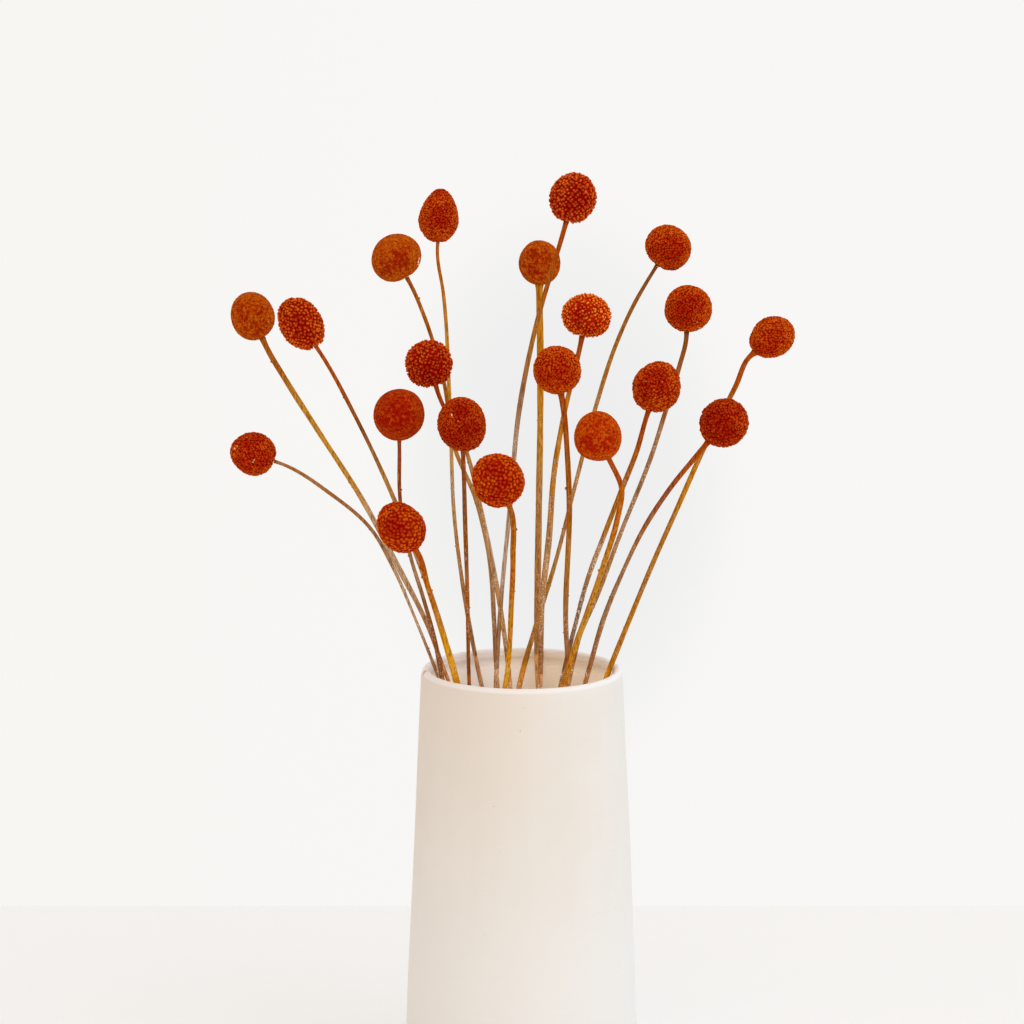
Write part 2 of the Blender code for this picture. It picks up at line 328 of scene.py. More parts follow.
def turned(name, profile, wander):
    """A closed turned mesh. The profile starts and ends on the axis."""
    points, faces = [], []
    rings = profile[1:-1]
    for radius, height in rings:
        for side in range(VASE_SIDES):
            turn = math.tau * side / VASE_SIDES
            out = radius + wander(turn, height)
            points.append((out * math.cos(turn) * MM, out * math.sin(turn) * MM, height * MM))
    for ring in range(len(rings) - 1):
        for side in range(VASE_SIDES):
            after = (side + 1) % VASE_SIDES
            low, high = ring * VASE_SIDES, (ring + 1) * VASE_SIDES
            faces.append((low + side, high + side, high + after, low + after))
    first, last = len(points), len(points) + 1
    points += [(0.0, 0.0, profile[0][1] * MM), (0.0, 0.0, profile[-1][1] * MM)]
    end_ring = (len(rings) - 1) * VASE_SIDES
    for side in range(VASE_SIDES):
        after = (side + 1) % VASE_SIDES
        faces.append((first, side, after))
        faces.append((last, end_ring + after, end_ring + side))
    mesh = bpy.data.meshes.new(name)
    mesh.from_pydata(points, [], faces)
    mesh.shade_smooth()
    return mesh


def add_values(mesh, name, values):
    """Give each point of a mesh a value, under the name by which a finish reads it."""
    mesh.attributes.new(name, "FLOAT", "POINT").data.foreach_set("value", values)


def hand_wander(turn, height):
    """How far the hand-finished wall wanders from its cone. It is nil at the foot."""
    lift = height / VASE_HEIGHT
    waves = math.sin(2 * turn + 3.0 * lift + 0.6) + 0.6 * math.sin(3 * turn - 7.0 * lift)
    waves += 0.35 * math.sin(5 * turn + 11.0 * lift + 1.9)
    return HAND_WANDER * waves * min(1.0, 4.0 * lift)


def make_object(name, mesh, material, slot):
    """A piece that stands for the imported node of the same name."""
    piece = bpy.data.objects.new(name + "_dressed", mesh)
    bpy.context.scene.collection.objects.link(piece)
    mesh.materials.append(material)
    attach(piece, "root")
    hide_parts(name)


def stoneware():
    """Matte cream stoneware. The attribute inside is 1 on the inner wall and 0 outside."""
    material = bpy.data.materials.new("cream_stoneware")
    recipe = Recipe(material)
    place = recipe.add("TexCoord", output=3)
    aside, _, height = recipe.parts(place)
    clouds = recipe.add("TexNoise", inputs={"Vector": place, "Scale": 14.0, "Detail": 3.0})
    stretched = recipe.add("Mapping", inputs={"Vector": place, "Scale": (1.0, 1.0, 0.12)})
    streaks = recipe.add("TexNoise", inputs={"Vector": stretched, "Scale": 60.0, "Detail": 3.0})
    grain = recipe.add("TexNoise", inputs={
        "Vector": place, "Scale": 900.0, "Detail": 4.0, "Roughness": 0.6})
    rings = recipe.add("TexNoise", {"noise_dimensions": "1D"}, {
        "W": height, "Scale": 420.0, "Detail": 2.0})
    outside = recipe.mix(recipe.smooth(clouds * 0.7 + streaks * 0.3, 0.35, 0.65), CREAM, CREAM_LIGHT)
    inside = recipe.add("Attribute", {"attribute_name": "inside"}, output="Fac")
    outside = recipe.mix(recipe.smooth(height, *FOOT_FADE), outside, FOOT_WHITE)
    # Painted warm light: the outside's upper left turns peach, where warm light falls on it
    warm = recipe.smooth(height, *WARM_LIGHT_FADE) * recipe.smooth(aside, 0.03, -0.015)
    outside = recipe.mix(warm * 0.65, outside, PAINTED_WARM_LIGHT)
    # Painted warm light: the inner wall's right half, which faces the warm light from the left, turns tan
    warm_lit_side = recipe.smooth(aside + (clouds - 0.5) * 0.05, -0.012, 0.008)
    colour = recipe.mix(inside, outside, recipe.mix(warm_lit_side, INSIDE_PINK_PAINTED_LIGHT, INSIDE_TAN_PAINTED_WARM_LIGHT))
    # Painted highlight: the lip's top turns white
    colour = recipe.mix(recipe.smooth(height, *LIP_HIGHLIGHT_FADE) * 0.9, colour, LIP_HIGHLIGHT)
    far = recipe.add("VectorMath", {"operation": "DISTANCE"}, {0: place, 1: LIP_STAIN * MM}, "Value")
    edge = recipe.add("TexNoise", inputs={"Vector": place, "Scale": 380.0, "Detail": 2.0})
    stain = recipe.smooth(far + (edge - 0.5) * 0.003, *STAIN_FADE, 0.85, 0.0)
    colour = recipe.mix(stain, colour, STAIN_OCHRE)
    holes = None
    for angle, level, size in PINHOLES:
        turn = math.radians(angle)
        radius = vase_radius(level)
        spot = Vector((radius * math.sin(turn), -radius * math.cos(turn), level)) * MM
        away = recipe.add("VectorMath", {"operation": "DISTANCE"}, {0: place, 1: spot}, "Value")
        hole = recipe.smooth(away, 0.5 * size * MM, 1.6 * size * MM, 1.0, 0.0)
        holes = hole if holes is None else holes + hole
    colour = recipe.mix(holes * 0.85, colour, PINHOLE_BROWN)
    relief = grain * 0.6 + rings * 0.5 + streaks * 0.4 - holes * 3.0
    bump = recipe.add("Bump", inputs={"Strength": 0.35, "Distance": 0.0004, "Height": relief})
    shader = recipe.add("BsdfPrincipled", inputs={
        "Base Color": colour, "Roughness": clouds * 0.1 + 0.72, "Specular IOR Level": 0.25,
        "Normal": bump})
    recipe.add("OutputMaterial", inputs={"Surface": shader})
    return material


inner, outer = vase_profile()
mesh = turned("vase_dressed", inner + outer[::-1], hand_wander)
inner_rings = len(inner) - 1
ring_values = [1.0] * (inner_rings - LIP_ARC_STEPS)
ring_values += [1.0 - i / LIP_ARC_STEPS for i in range(LIP_ARC_STEPS)]
ring_values += [0.0] * (len(inner) + len(outer) - 2 - len(ring_values))
add_values(mesh, "inside", [value for value in ring_values for _ in range(VASE_SIDES)] + [1.0, 0.0])
make_object("vase", mesh, stoneware(), "vase_ceramic")

# Stems. Twenty ribbed, woody stems, cut level and standing on the vase's floor, that lean on one
# another in the mouth and fan out. Each is orange under its head, golden or tan lower down, and frosted
# with pale down in places. The last few millimetres widen into the head.
STEM_SIDES = 12
STEM_POINT_SPACING = 3.0
RIB_DEPTH = 0.12
TWIST_LENGTH = 160.0
NECK_LENGTH = 5.0
NECK_FLARE = 1.22
WIDE_NECKS = {4: 1.35, 10: 1.8, 20: 1.4}

# Gap under each foot and each head. Below the mouth the stems lean the same way round: a foot is its
# stem's place in the mouth, turned round the vase and moved outward.
GAP = 0.3
SPIRAL_TURN = math.radians(-110.0)
SPIRAL_SPREAD = 1.15

# Radius of the flat under a head, where its stem joins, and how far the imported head's net of faces lies
# under its round form
RECEPTACLE_RADIUS = 3.2
NET_SAG = 0.4

# How much a stem swells slowly and quickly along its length and turns oval, and over what lengths
SLOW_SWELL = (0.03, 9.0)
QUICK_SWELL = (0.02, 3.7)
OVAL = (0.04, 25.0)

EMBER = tone(184, 80, 6)
RUSSET = tone(160, 80, 42)
COPPER = tone(176, 95, 12)
CARAMEL = tone(188, 122, 32)
AMBER = tone(196, 107, 4)
HONEY = tone(203, 130, 10)
GOLD = tone(232, 160, 14)
OLIVE = tone(211, 149, 45)
TAN = tone(192, 134, 68)
FAWN = tone(204, 164, 122)
DRAB = tone(172, 124, 82)
BARK = tone(176, 113, 60)
ASH = tone(206, 176, 148)
UMBER = tone(152, 86, 26)
SOOT = tone(148, 104, 68)
DOWN = tone(240, 222, 200)
PALE_STRAW = tone(240, 190, 110)
# Darkens the dark fibres, and as painted shade the grooves between the ribs
FIBRE_AND_GROOVE_SHADE = (0.42, 0.30, 0.20)

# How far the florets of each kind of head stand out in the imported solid
RELIEF = {"columns": 1.5, "knobs": 1.5, "spikes": 1.5, "grains": 1.2, "rough": 1.2, "felt": 0.9}

# Centre of the head, its width and height, how far it narrows to the top, its packing and dye, the
# stem's diameter, its tones from under the head down to the mouth, how frosted it is, and its way up
Flower = namedtuple("Flower", "centre size egg packing dye stem tones frost route")
FLOWERS = [
    Flower((27.5, 18, 498.5), (25.8, 28.0), 0.0, "columns", "rust", 2.6,
           (EMBER, CARAMEL, DRAB, ASH, ASH, DRAB), 0.7,
           [(-14, 4, 240), (-11.5, 6, 279), (-6.5, 9, 331), (-1.5, 12, 384), (6.5, 14, 425),
            (18.5, 16, 466.5)]),
    Flower((-47, 95, 485), (23.7, 30.9), 0.22, "grains", "rust", 2.2,
           (AMBER, OLIVE, OLIVE, FAWN, TAN, DRAB), 0.4,
           [(-26, 38, 240), (-32, 45, 272), (-38, 56, 316), (-40.5, 69, 371), (-44.5, 85, 441),
            (-48.5, 89, 457)]),
    Flower((-70, 52, 464), (28.4, 26.2), 0.0, "felt", "ochre", 2.5,
           (COPPER, COPPER, CARAMEL, TAN, TAN, DRAB), 0.4,
           [(-14.5, 22, 240), (-15.5, 25, 264), (-18.5, 30, 301), (-26, 34, 332), (-37, 38, 358),
            (-43.5, 43, 396), (-55, 48, 433.5), (-59, 49, 444)]),
    Flower((10, 80, 459.5), (23.8, 25.8), 0.0, "felt", "ochre", 3.6,
           (HONEY, HONEY, OLIVE, TAN, TAN, TAN), 0.2,
           [(9, 44, 240), (9.5, 55, 310), (10.5, 66, 371), (10.5, 72, 413), (10, 77, 437.5)]),
    Flower((82, 65, 469), (26.4, 25.3), 0.0, "grains", "warm", 2.4,
           (UMBER, CARAMEL, TAN, TAN, TAN, CARAMEL), 0.4,
           [(1, 12, 240), (7, 17, 260), (19, 26, 298), (30, 35, 340), (42, 45, 384), (52, 52, 414),
            (62.5, 58, 437), (70, 61, 450)]),
    Flower((-149.5, 45, 432), (24.4, 27.5), 0.04, "felt", "ochre", 2.8,
           (COPPER, OLIVE, OLIVE, FAWN, FAWN, BARK), 0.3,
           [(-44, 16, 240), (-53, 20, 263.5), (-68.5, 24, 294), (-88.5, 30, 331), (-113.5, 36, 369.5),
            (-131.5, 40, 397.5), (-140.5, 42, 412)]),
    Flower((-119, -8, 433), (23.6, 30.7), 0.1, "columns", "warm", 2.5,
           (EMBER, UMBER, TAN, TAN, FAWN, TAN), 0.3,
           [(-37, 2, 240), (-47.5, 0, 276), (-55, -1, 298), (-69.5, -3, 336.5), (-90, -5, 382),
            (-106, -7, 413)]),
    Flower((34.5, -2, 436.5), (27.1, 24.4), 0.0, "spikes", "orange", 2.9,
           (EMBER, HONEY, HONEY, TAN, TAN, BARK), 0.7,
           [(10, -10, 240), (11, -8, 282), (14.5, -7, 315), (17.5, -5, 353), (22, -4, 380),
            (30.5, -3, 416.5)]),
    Flower((92, 42, 436.5), (26.8, 26.4), 0.0, "grains", "rust", 2.5,
           (UMBER, BARK, DRAB, DRAB, TAN, BARK), 0.7,
           [(29, 30, 240), (32, 31, 252), (42, 32, 276), (54.5, 34, 310), (73, 37, 357.5), (80, 39, 380),
            (87.5, 40, 405), (91, 41, 418.5)]),
    Flower((138.5, 38, 421), (22.7, 26.0), -0.05, "grains", "warm", 2.6,
           (EMBER, HONEY, HONEY, CARAMEL, CARAMEL, HONEY), 0.2,
           [(48, 4, 240), (58.5, 9, 265.5), (74, 16, 302), (85.5, 20, 327.5), (101, 27, 361.5),
            (118.5, 33, 395), (125, 36, 409.5)]),
    Flower((-50, -14, 412), (25.6, 26.2), 0.0, "spikes", "rust", 2.4,
           (EMBER, TAN, TAN, FAWN, TAN, TAN), 0.6,
           [(-7, -12, 240), (-10, -12, 266), (-16.5, -13, 305), (-23.5, -13, 338), (-30, -13, 364),
            (-43, -14, 389)]),
    Flower((18, -42, 411.5), (25.4, 26.0), 0.0, "grains", "warm", 2.8,
           (EMBER, COPPER, COPPER, CARAMEL, BARK, BARK), 0.3,
           [(25, -20, 240), (23.5, -24, 273), (25, -33, 341), (24, -36, 363), (23, -38, 383.5)]),
    Flower((-65, -42, 387.5), (27.0, 27.5), 0.0, "felt", "deep", 2.2,
           (RUSSET, RUSSET, DRAB, DRAB, UMBER, UMBER), 0.4,
           [(-43.5, -16, 240), (-47.5, -20, 263), (-53, -24, 285), (-60, -28, 310), (-65, -34, 341),
            (-65, -37, 357.5)]),
    Flower((-32, -47, 383.5), (25.5, 28.7), 0.0, "grains", "deep", 2.3,
           (RUSSET, UMBER, UMBER, COPPER, COPPER, UMBER), 0.3,
           [(-29, -12, 240), (-29.5, -23, 286), (-30.5, -34, 330), (-31, -42, 359.5)]),
    Flower((71, -30, 401), (25.4, 27.5), 0.0, "rough", "rust", 2.5,
           (EMBER, COPPER, CARAMEL, TAN, SOOT, SOOT), 0.9,
           [(22.5, -4, 240), (29, -8, 268), (35.5, -12, 294), (44.5, -17, 320), (53.5, -21, 345),
            (61.5, -24, 367), (64, -26, 378)]),
    Flower((38.5, -78, 381), (24.5, 25.8), 0.0, "felt", "warm", 3.0,
           (EMBER, AMBER, HONEY, HONEY, OLIVE, HONEY), 0.3,
           [(22, -34, 240), (27, -40, 259), (35, -47, 284), (42.5, -55, 309), (49.5, -64, 336),
            (51.5, -68, 352), (48, -71, 361.5)]),
    Flower((106.5, -38, 383), (25.9, 26.4), 0.0, "rough", "deep", 2.3,
           (EMBER, RUSSET, BARK, DRAB, DRAB, BARK), 0.5,
           [(36, -5, 240), (45.5, -13, 276), (54, -18, 298.5), (65.5, -24, 324.5), (79, -30, 347),
            (93.5, -34, 366)]),
    Flower((-144, -18, 363.5), (23.5, 24.9), 0.0, "grains", "rust", 2.1,
           (BARK, BARK, DRAB, FAWN, FAWN, DRAB), 0.4,
           [(-47, 0, 240), (-59, -5, 272.5), (-69.5, -8, 298.5), (-82, -12, 322), (-104, -15, 342),
            (-125, -17, 356.5)]),
    Flower((-12.5, -92, 360), (27.5, 28.1), 0.0, "knobs", "warm", 2.7,
           (COPPER, AMBER, AMBER, HONEY, HONEY, GOLD), 0.2,
           [(-9.5, -46, 240), (-7.5, -52, 256), (-6, -64, 287), (-5, -76, 318), (-4, -83, 338.5)]),
    Flower((-63, -66, 331.5), (24.6, 28.8), 0.0, "knobs", "warm", 3.1,
           (EMBER, AMBER, AMBER, HONEY, GOLD, GOLD), 0.2,
           [(-35, -32, 240), (-37, -36, 249.5), (-43, -44, 272.5), (-50, -53, 298), (-51.5, -58, 311)]),
]
STEM_SLOTS = ["russet", "gold", "gold", "gold", "straw", "gold", "russet", "straw", "straw", "gold",
              "straw", "russet", "russet", "russet", "straw", "gold", "russet", "russet", "gold", "gold"]

# A stem's width against its diameter, at even steps from its head down to the mouth
GIRTHS = {2: (0.95, 0.95, 1.1), 3: (0.82, 0.92, 1.0, 1.0), 5: (0.82, 0.92, 1.03, 1.0, 1.15),
          6: (1.12, 1.08, 1.0, 1.0, 0.8), 7: (0.85, 0.95, 1.0, 1.0), 8: (0.9, 1.0, 1.08, 1.0),
          9: (1.07, 1.0, 0.95, 0.97), 10: (1.0, 1.05, 1.15, 1.03, 1.0),
          12: (1.2, 1.08, 1.05, 0.92, 0.87), 13: (0.88, 0.85, 1.0, 1.1), 14: (1.0, 0.92, 0.95),
          15: (1.12, 1.18, 1.1, 0.93, 0.83), 16: (0.87, 1.04, 1.0, 0.97),
          17: (1.2, 1.1, 1.03, 1.1, 1.1), 18: (0.82, 0.9, 0.95, 0.8, 0.95), 20: (0.92, 0.93, 1.1, 1.15)}

# Height of each leaf scar that stands out from a stem, its side (-1 left, 1 right) and its length
SCARS = {3: [(440, 1, 0.9)], 6: [(407, -1, 1.1)], 12: [(347, -1, 1.4)], 16: [(306, -1, 1.2)],
         19: [(333, 1, 1.1)], 20: [(309, -1, 1.6), (303, -1, 1.3), (296, 1, 0.9)]}

# Small scars at random: how many on each stem, how low and how far below its end, and their lengths
SMALL_SCARS = 3
LOWEST_SCAR = 250.0
SCAR_TO_END = 25.0
SMALL_SCAR_LENGTHS = (0.5, 0.8)

# Width of each ring of a scar and how far it stands out, against the scar's length
SCAR_RINGS = [(0.75, -0.3), (0.65, 0.35), (0.3, 0.7)]
SCAR_SIDES = 6
# How far a scar takes the painted shade and light of the grooves
SCAR_GROOVE = 0.3


def head_frame(flower):
    """Centre and up direction of a head, half its height, and the tilt of its receptacle's edge."""
    centre = Vector(flower.centre)
    up = (centre - Vector(flower.route[-1])).normalized()
    half_width = flower.size[0] / 2 - RELIEF[flower.packing] + NET_SAG
    half_height = flower.size[1] / 2 - RELIEF[flower.packing] + NET_SAG
    tilt = math.asin(RECEPTACLE_RADIUS / half_width)
    return centre, up, half_height, tilt


def smooth_way(points, spacing):
    """Points along a smooth curve through the given ones, about evenly spaced."""
    spans = [(b - a).length for a, b in zip(points, points[1:])]
    slopes = [(b - a) / span for a, b, span in zip(points, points[1:], spans)]
    tangents = [slopes[0]]
    for before, after, slope_in, slope_out in zip(spans, spans[1:], slopes, slopes[1:]):
        tangents.append((slope_in * after + slope_out * before) / (before + after))
    tangents.append(slopes[-1])
    way = []
    for i, span in enumerate(spans):
        count = max(1, round(span / spacing))
        for step in range(count):
            t = step / count
            start = points[i] * (2 * t**3 - 3 * t**2 + 1) + tangents[i] * span * (t**3 - 2 * t**2 + t)
            end = points[i + 1] * (3 * t**2 - 2 * t**3) + tangents[i + 1] * span * (t**3 - t**2)
            way.append(start + end)
    way.append(points[-1])
    return way


def stem_way(flower):
    """Middle line of a stem, from its cut foot to the receptacle of its head."""
    centre, up, half_height, tilt = head_frame(flower)
    mouth = Vector(flower.route[0])
    foot = Matrix.Rotation(SPIRAL_TURN, 3, "Z") @ mouth * SPIRAL_SPREAD
    foot.z = FLOOR
    lean = (mouth - foot).normalized()
    foot.z += GAP + flower.stem / 2 * math.hypot(lean.x, lean.y)
    tip = centre - up * (half_height * math.cos(tilt) + GAP)
    neck = tip - up * NECK_LENGTH
    route = [foot, *(Vector(point) for point in flower.route[:-1]), neck, tip]
    return smooth_way(route, STEM_POINT_SPACING)


def across(direction):
    """Two directions square to one another and to the given one, the first nearly along +X."""
    first = (Vector((1.0, 0.0, 0.0)) - direction * direction.x).normalized()
    return first, direction.cross(first)


def band_faces(rings, sides):
    """Faces between neighbouring rings of points that all have the same number of sides."""
    return [(low + i, low + (i + 1) % sides, low + sides + (i + 1) % sides, low + sides + i)
            for low in range(0, (rings - 1) * sides, sides) for i in range(sides)]


def scar_shape(root, outward, along, length):
    """Points and faces of a leaf scar: a small round nub that stands out of the bark."""
    side = outward.cross(along)
    points = []
    for size, lift in SCAR_RINGS:
        for i in range(SCAR_SIDES):
            turn = math.tau * i / SCAR_SIDES
            ray = side * math.cos(turn) * 0.7 + along * math.sin(turn)
            points.append(root + (ray * size + outward * lift) * length)
    faces = band_faces(len(SCAR_RINGS), SCAR_SIDES)
    faces.append(tuple(reversed(range(SCAR_SIDES))))
    faces.append(tuple(range(len(points) - SCAR_SIDES, len(points))))
    return points, faces


def stem_mesh(number, flower):
    """A ribbed tube with its scars. Attribute lift runs from mouth to head, groove is 1 between ribs."""
    way = stem_way(flower)
    chance = np.random.RandomState(number)
    waves = chance.uniform(0.0, math.tau, 4)
    girths = GIRTHS.get(number, (1.0, 1.0))
    neck_gain = WIDE_NECKS.get(number, NECK_FLARE) - 1.0
    steps = np.linspace(1.0, 0.0, len(girths))[::-1]
    run = 0.0
    points, lifts, grooves = [], [], []
    rise = way[-1].z - VASE_HEIGHT
    for i, place in enumerate(way):
        direction = (way[min(i + 1, len(way) - 1)] - way[max(i - 1, 0)]).normalized()
        first, second = across(direction)
        lift = (place.z - VASE_HEIGHT) / rise
        left = (way[-1] - place).length
        flare = 1.0 + neck_gain * max(0.0, 1.0 - left / NECK_LENGTH) ** 2
        width = 1.0 + SLOW_SWELL[0] * math.sin(run / SLOW_SWELL[1] + waves[0])
        width += QUICK_SWELL[0] * math.sin(run / QUICK_SWELL[1] + waves[1])
        width *= flare * np.interp(lift, steps, girths[::-1])
        for side in range(STEM_SIDES):
            turn = math.tau * side / STEM_SIDES
            rib = 1.0 + RIB_DEPTH / 2 * math.cos(math.pi * side)
            rib += OVAL[0] * math.sin(2 * turn + run / OVAL[1] + waves[2])
            twist = turn + run / TWIST_LENGTH + waves[3]
            radius = flower.stem / 2 * width * rib
            points.append(place + (first * math.cos(twist) + second * math.sin(twist)) * radius)
            lifts.append(lift)
            grooves.append(side % 2)
        run += (way[min(i + 1, len(way) - 1)] - place).length
    faces = band_faces(len(way), STEM_SIDES)
    faces.append(tuple(reversed(range(STEM_SIDES))))
    faces.append(tuple(range(len(points) - STEM_SIDES, len(points))))
    scars = list(SCARS.get(number, []))
    for _ in range(SMALL_SCARS):
        height = chance.uniform(LOWEST_SCAR, way[-1].z - SCAR_TO_END)
        side = chance.choice([-1, 1])
        scars.append((height, side, chance.uniform(*SMALL_SCAR_LENGTHS)))
    for height, side, length in scars:
        i = min(range(1, len(way) - 1), key=lambda k: abs(way[k].z - height))
        direction = (way[i + 1] - way[i - 1]).normalized()
        outward = across(direction)[0] * side
        root = way[i] + outward * flower.stem * 0.45
        scar, scar_faces = scar_shape(root, outward, direction, length)
        faces += [tuple(len(points) + corner for corner in face) for face in scar_faces]
        points += scar
        lifts += [(way[i].z - VASE_HEIGHT) / rise] * len(scar)
        grooves += [SCAR_GROOVE] * len(scar)
    mesh = bpy.data.meshes.new(f"stem_{number:02d}_dressed")
    mesh.from_pydata([point * MM for point in points], [], faces)
    mesh.shade_smooth()
    add_values(mesh, "lift", lifts)
    add_values(mesh, "groove", grooves)
    return mesh


def bark(name, flower):
    """A stem's ribbed skin: its tones from the mouth up, dark fibres with painted shade in the grooves,
    pale fibres with painted light on the ridges, and pale down.
    """
    material = bpy.data.materials.new(name)
    recipe = Recipe(material)
    place = recipe.add("TexCoord", output=3)
    lift = recipe.add("Attribute", {"attribute_name": "lift"}, output="Fac")
    groove = recipe.add("Attribute", {"attribute_name": "groove"}, output="Fac")
    drift = recipe.add("TexNoise", inputs={"Vector": place, "Scale": 25.0, "Detail": 2.0})
    count = len(flower.tones)
    stops = [((i + 0.5) / count, shade) for i, shade in enumerate(reversed(flower.tones))]
    colour = recipe.add("ValToRGB", {"stops": stops}, {"Fac": lift + (drift - 0.5) * 0.15})
    stretched = recipe.add("Mapping", inputs={"Vector": place, "Scale": (1.0, 1.0, 0.05)})
    fibres = recipe.add("TexNoise", inputs={"Vector": stretched, "Scale": 1300.0, "Detail": 3.0})
    specks = recipe.add("TexNoise", inputs={
        "Vector": place, "Scale": 1100.0, "Detail": 3.0, "Roughness": 0.7})
    patches = recipe.smooth(recipe.add("TexNoise", inputs={"Vector": place, "Scale": 60.0}), 0.40, 0.62)
    # Painted shade: the grooves between the ribs darken along with the dark fibres
    dark_fibres_and_groove_shade = recipe.smooth(fibres + groove * 0.14, 0.52, 0.74)
    colour = recipe.mix(dark_fibres_and_groove_shade * 0.8, colour, FIBRE_AND_GROOVE_SHADE, "MULTIPLY")
    # Painted light: the pale fibres show more on the ridges than in the grooves
    light = recipe.smooth(fibres + groove * 0.10, 0.46, 0.30)
    colour = recipe.mix(light * 0.35, colour, PALE_STRAW)
    frosting = recipe.smooth(specks, 0.58 - 0.12 * flower.frost, 0.68 - 0.06 * flower.frost)
    bare = recipe.smooth(lift, 0.90, 0.45)
    colour = recipe.mix(frosting * patches * bare * (0.35 + 0.6 * flower.frost), colour, DOWN)
    relief = specks * 0.6 - fibres
    bump = recipe.add("Bump", inputs={"Strength": 0.5, "Distance": 0.0003, "Height": relief})
    shader = recipe.add("BsdfPrincipled", inputs={
        "Base Color": colour, "Roughness": specks * 0.2 + 0.55, "Specular IOR Level": 0.04,
        "Sheen Weight": 0.06, "Sheen Roughness": 0.5, "Sheen Tint": (*HONEY, 1.0), "Normal": bump})
    recipe.add("OutputMaterial", inputs={"Surface": shader})
    return material


for number, flower in enumerate(FLOWERS, start=1):
    name = f"stem_{number:02d}"
    mesh = stem_mesh(number, flower)
    make_object(name, mesh, bark(name + "_bark", flower), "stem_" + STEM_SLOTS[number - 1])

# Heads. Each is a ball of hundreds or thousands of tiny dried florets, set in spirals on a solid core.
# On some the florets are open and stand apart, on others they are closed and as fine as felt. They are
# dyed crimson to ochre, deepest between them, and a few pale flakes cling to them. Painted shade makes
# each head's front more crimson and the gaps there dark wine, and the ochre shoulders and brightened
# tips are partly painted light: a glow through the florets at a head's rim, and highlights on the tips.
GOLDEN_ANGLE = math.pi * (3.0 - math.sqrt(5.0))
EGG_CENTRE_SHIFT = 0.25
CORE_SIDES = 32
CORE_RINGS = 20

# How deep the core lies under the tips of the florets, against their height
CORE_DEPTH = 0.75

# Width and height of the rings of a floret, from its hidden root up to its tip, and the tone of each:
# 0 is the crimson between the florets, 0.3 their body, 0.65 their shoulders and 1 their open tips. The
# ochre of the shoulders is partly painted light, a glow through the florets at a head's rim.
OPEN_RINGS = [(0.85, 0.00, 0.00), (1.00, 0.42, 0.12), (0.86, 0.72, 0.45), (0.58, 0.94, 0.85),
              (0.0, 0.98, 1.0)]
KNOB_RINGS = [(0.90, 0.00, 0.05), (1.00, 0.42, 0.22), (0.84, 0.74, 0.42), (0.50, 0.95, 0.62),
              (0.0, 1.0, 0.72)]
SPIKE_RINGS = [(1.00, 0.00, 0.00), (0.90, 0.50, 0.15), (0.58, 0.88, 0.70), (0.0, 1.0, 1.0)]
CLOSED_RINGS = [(0.90, 0.00, 0.00), (1.00, 0.55, 0.30), (0.72, 0.92, 0.60), (0.0, 0.98, 0.80)]
FELT_RINGS = [(0.95, 0.00, 0.30), (0.95, 0.60, 0.50), (0.0, 1.0, 0.42)]

# How the florets of each kind of head stand: their pitch and height, how much of the pitch half a
# floret fills, their sides and rings, and how far they stray, lean and differ in size
Kind = namedtuple("Kind", "pitch height fill sides rings stray lean uneven")
KINDS = {"columns": Kind(1.95, 1.7, 0.455, 6, OPEN_RINGS, 0.38, 0.16, 0.20),
         "knobs": Kind(2.0, 1.1, 0.50, 6, KNOB_RINGS, 0.40, 0.16, 0.18),
         "spikes": Kind(1.85, 1.6, 0.47, 6, SPIKE_RINGS, 0.42, 0.20, 0.22),
         "grains": Kind(1.35, 0.8, 0.55, 6, CLOSED_RINGS, 0.40, 0.25, 0.28),
         "rough": Kind(1.45, 1.0, 0.53, 6, CLOSED_RINGS, 0.36, 0.30, 0.35),
         "felt": Kind(0.95, 0.28, 0.72, 5, FELT_RINGS, 0.40, 0.30, 0.30)}

# Where each head bulges or is pressed in: the way there in the picture, in degrees from the right
# towards the top, and how far
SWELL_SPREAD = 0.12
SWELLS = {2: [(60, 0.4), (180, 0.4), (225, 0.4), (345, -0.3)],
          3: [(300, -0.6), (25, 0.3), (245, 0.35), (170, -0.4)],
          4: [(140, -0.5), (80, -0.4), (320, 0.4)], 5: [(225, -0.9), (290, 0.5), (50, -0.4)],
          6: [(65, 0.45), (310, -0.6), (240, 0.3)], 7: [(70, 0.6), (128, -0.6), (315, 0.7)],
          8: [(120, -0.5), (270, -0.7), (308, 0.5)], 9: [(165, -0.5), (75, -0.25)],
          10: [(85, -0.7), (205, 0.5), (265, -0.6)], 11: [(110, -0.5), (228, 0.6), (310, 0.5)],
          12: [(80, -0.4), (335, 0.5), (170, -0.3)], 13: [(50, 0.55), (300, -0.3)],
          14: [(315, 1.0), (290, 0.4)], 15: [(52, 0.6), (120, -0.5), (215, 0.35), (325, 0.4)],
          16: [(158, -0.45), (225, 0.6), (308, 0.5), (75, 0.4)], 17: [(105, -0.4), (225, 0.35)],
          18: [(165, 0.5), (225, -0.5), (330, -0.8)], 19: [(30, -0.5), (132, 0.7), (200, -0.6)],
          20: [(60, -0.8), (135, 0.5)]}

Dye = namedtuple("Dye", "crimson valley flank shoulder tip")
DYE_TONES = {"deep": [(154, 0, 0), (162, 6, 0), (168, 22, 2), (196, 72, 8), (212, 80, 30)],
             "rust": [(166, 0, 0), (170, 10, 0), (180, 34, 2), (208, 92, 10), (230, 96, 36)],
             "warm": [(168, 4, 0), (172, 18, 0), (184, 42, 2), (212, 96, 10), (228, 98, 30)],
             "orange": [(184, 14, 0), (196, 28, 0), (208, 60, 4), (236, 124, 18), (255, 154, 54)],
             "ochre": [(156, 14, 0), (168, 34, 0), (178, 54, 2), (206, 104, 14), (212, 98, 24)]}
DYES = {name: Dye(*(tone(*shade) for shade in shades)) for name, shades in DYE_TONES.items()}

